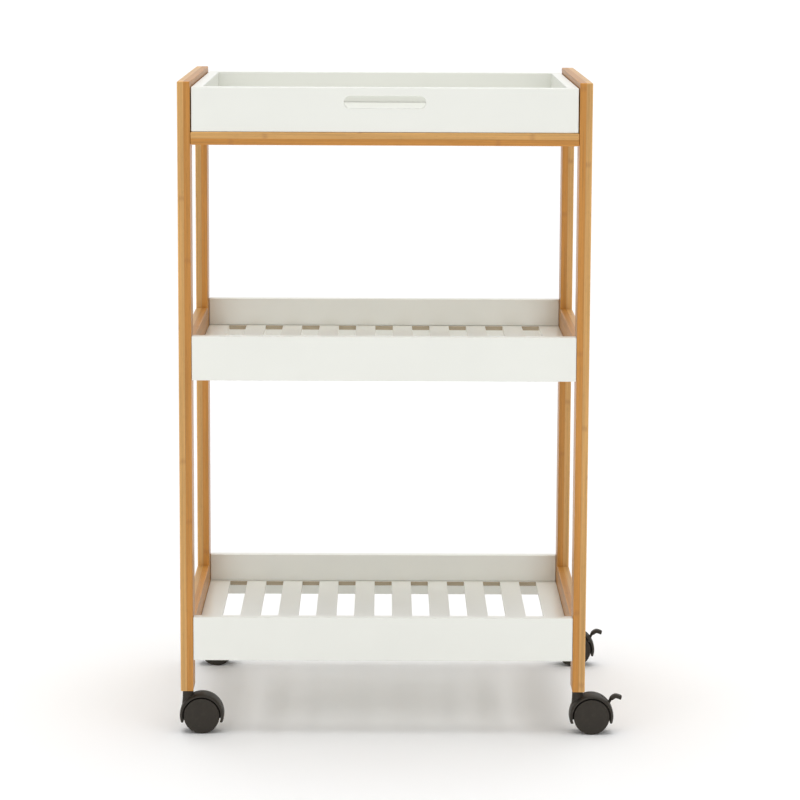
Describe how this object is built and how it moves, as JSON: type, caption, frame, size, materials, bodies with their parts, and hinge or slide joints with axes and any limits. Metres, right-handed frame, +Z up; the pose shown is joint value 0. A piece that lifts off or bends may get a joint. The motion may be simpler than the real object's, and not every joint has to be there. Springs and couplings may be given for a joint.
{
  "type": "rolling utility cart",
  "caption": "Narrow bamboo-framed rolling cart with a lift-off white tray, white slotted shelves and swivel casters, some with brake levers.",
  "frame": {"origin": "bottom centre of the whole object's box, on the floor between the casters; the cart's own middle plane is 20.5 mm to the left, because every caster trails to the right", "axes": "+X to the cart's right, +Y from the front to the back, +Z up"},
  "size_m": [0.4954, 0.354, 0.7265],
  "materials": {
    "bamboo": "satin lacquered laminated bamboo",
    "white_board": "satin white painted fibreboard",
    "black_nylon": "matte moulded nylon",
    "zinc_steel": "bright zinc plated"
  },
  "bodies": {
    "frame": {"front_left_leg": "bamboo", "front_right_leg": "bamboo", "back_left_leg": "bamboo", "back_right_leg": "bamboo", "top_left_rail": "bamboo", "top_right_rail": "bamboo", "middle_left_rail": "bamboo", "middle_right_rail": "bamboo", "bottom_left_rail": "bamboo", "bottom_right_rail": "bamboo", "front_cross_rail": "bamboo", "back_cross_rail": "bamboo", "middle_front_board": "white_board", "middle_back_board": "white_board", "middle_slotted_panel": "white_board", "middle_front_left_screw": "zinc_steel", "middle_front_right_screw": "zinc_steel", "middle_back_left_screw": "zinc_steel", "middle_back_right_screw": "zinc_steel", "bottom_front_board": "white_board", "bottom_back_board": "white_board", "bottom_slotted_panel": "white_board", "bottom_front_left_screw": "zinc_steel", "bottom_front_right_screw": "zinc_steel", "bottom_back_left_screw": "zinc_steel", "bottom_back_right_screw": "zinc_steel", "front_left_leg_insert": "zinc_steel", "front_left_caster_stem": "zinc_steel", "front_right_leg_insert": "zinc_steel", "front_right_caster_stem": "zinc_steel", "back_left_leg_insert": "zinc_steel", "back_left_caster_stem": "zinc_steel", "back_right_leg_insert": "zinc_steel", "back_right_caster_stem": "zinc_steel"},
    "tray": {"tray_front_wall": "white_board", "tray_back_wall": "white_board", "tray_left_wall": "white_board", "tray_right_wall": "white_board", "tray_floor": "white_board"},
    "front_left_caster": {"front_left_caster_hood": "black_nylon", "front_left_caster_axle": "zinc_steel"},
    "front_left_caster_front_wheel": {"front_left_caster_front_wheel": "black_nylon"},
    "front_left_caster_back_wheel": {"front_left_caster_back_wheel": "black_nylon"},
    "front_right_caster": {"front_right_caster_hood": "black_nylon", "front_right_caster_axle": "zinc_steel"},
    "front_right_caster_front_wheel": {"front_right_caster_front_wheel": "black_nylon"},
    "front_right_caster_back_wheel": {"front_right_caster_back_wheel": "black_nylon"},
    "front_right_brake": {"front_right_brake_lever": "black_nylon"},
    "back_left_caster": {"back_left_caster_hood": "black_nylon", "back_left_caster_axle": "zinc_steel"},
    "back_left_caster_front_wheel": {"back_left_caster_front_wheel": "black_nylon"},
    "back_left_caster_back_wheel": {"back_left_caster_back_wheel": "black_nylon"},
    "back_right_caster": {"back_right_caster_hood": "black_nylon", "back_right_caster_axle": "zinc_steel"},
    "back_right_caster_front_wheel": {"back_right_caster_front_wheel": "black_nylon"},
    "back_right_caster_back_wheel": {"back_right_caster_back_wheel": "black_nylon"},
    "back_right_brake": {"back_right_brake_lever": "black_nylon"}
  },
  "joints": [
    {"name": "tray_lift", "type": "slide", "parent": "frame", "child": "tray", "axis": [0, 0, 1], "range_m": [0, 0.08]},
    {"name": "front_left_swivel", "type": "hinge", "parent": "frame", "child": "front_left_caster", "pos_m": [-0.2385, -0.159, 0.048], "axis": [0, 0, 1], "continuous": true},
    {"name": "front_left_front_wheel_spin", "type": "hinge", "parent": "front_left_caster", "child": "front_left_caster_front_wheel", "pos_m": [-0.2229, -0.167, 0.02], "axis": [0, 1, 0], "continuous": true},
    {"name": "front_left_back_wheel_spin", "type": "hinge", "parent": "front_left_caster", "child": "front_left_caster_back_wheel", "pos_m": [-0.2229, -0.151, 0.02], "axis": [0, 1, 0], "continuous": true},
    {"name": "front_right_swivel", "type": "hinge", "parent": "frame", "child": "front_right_caster", "pos_m": [0.1975, -0.159, 0.048], "axis": [0, 0, 1], "continuous": true},
    {"name": "front_right_front_wheel_spin", "type": "hinge", "parent": "front_right_caster", "child": "front_right_caster_front_wheel", "pos_m": [0.2131, -0.167, 0.02], "axis": [0, 1, 0], "continuous": true},
    {"name": "front_right_back_wheel_spin", "type": "hinge", "parent": "front_right_caster", "child": "front_right_caster_back_wheel", "pos_m": [0.2131, -0.151, 0.02], "axis": [0, 1, 0], "continuous": true},
    {"name": "front_right_brake_lift", "type": "hinge", "parent": "front_right_caster", "child": "front_right_brake", "pos_m": [0.2256, -0.159, 0.0295], "axis": [0, 1, 0], "range_deg": [-22, 0]},
    {"name": "back_left_swivel", "type": "hinge", "parent": "frame", "child": "back_left_caster", "pos_m": [-0.2385, 0.159, 0.048], "axis": [0, 0, 1], "continuous": true},
    {"name": "back_left_front_wheel_spin", "type": "hinge", "parent": "back_left_caster", "child": "back_left_caster_front_wheel", "pos_m": [-0.2229, 0.151, 0.02], "axis": [0, 1, 0], "continuous": true},
    {"name": "back_left_back_wheel_spin", "type": "hinge", "parent": "back_left_caster", "child": "back_left_caster_back_wheel", "pos_m": [-0.2229, 0.167, 0.02], "axis": [0, 1, 0], "continuous": true},
    {"name": "back_right_swivel", "type": "hinge", "parent": "frame", "child": "back_right_caster", "pos_m": [0.1975, 0.159, 0.048], "axis": [0, 0, 1], "continuous": true},
    {"name": "back_right_front_wheel_spin", "type": "hinge", "parent": "back_right_caster", "child": "back_right_caster_front_wheel", "pos_m": [0.2131, 0.151, 0.02], "axis": [0, 1, 0], "continuous": true},
    {"name": "back_right_back_wheel_spin", "type": "hinge", "parent": "back_right_caster", "child": "back_right_caster_back_wheel", "pos_m": [0.2131, 0.167, 0.02], "axis": [0, 1, 0], "continuous": true},
    {"name": "back_right_brake_lift", "type": "hinge", "parent": "back_right_caster", "child": "back_right_brake", "pos_m": [0.2256, 0.159, 0.0295], "axis": [0, 1, 0], "range_deg": [-22, 0]}
  ]
}
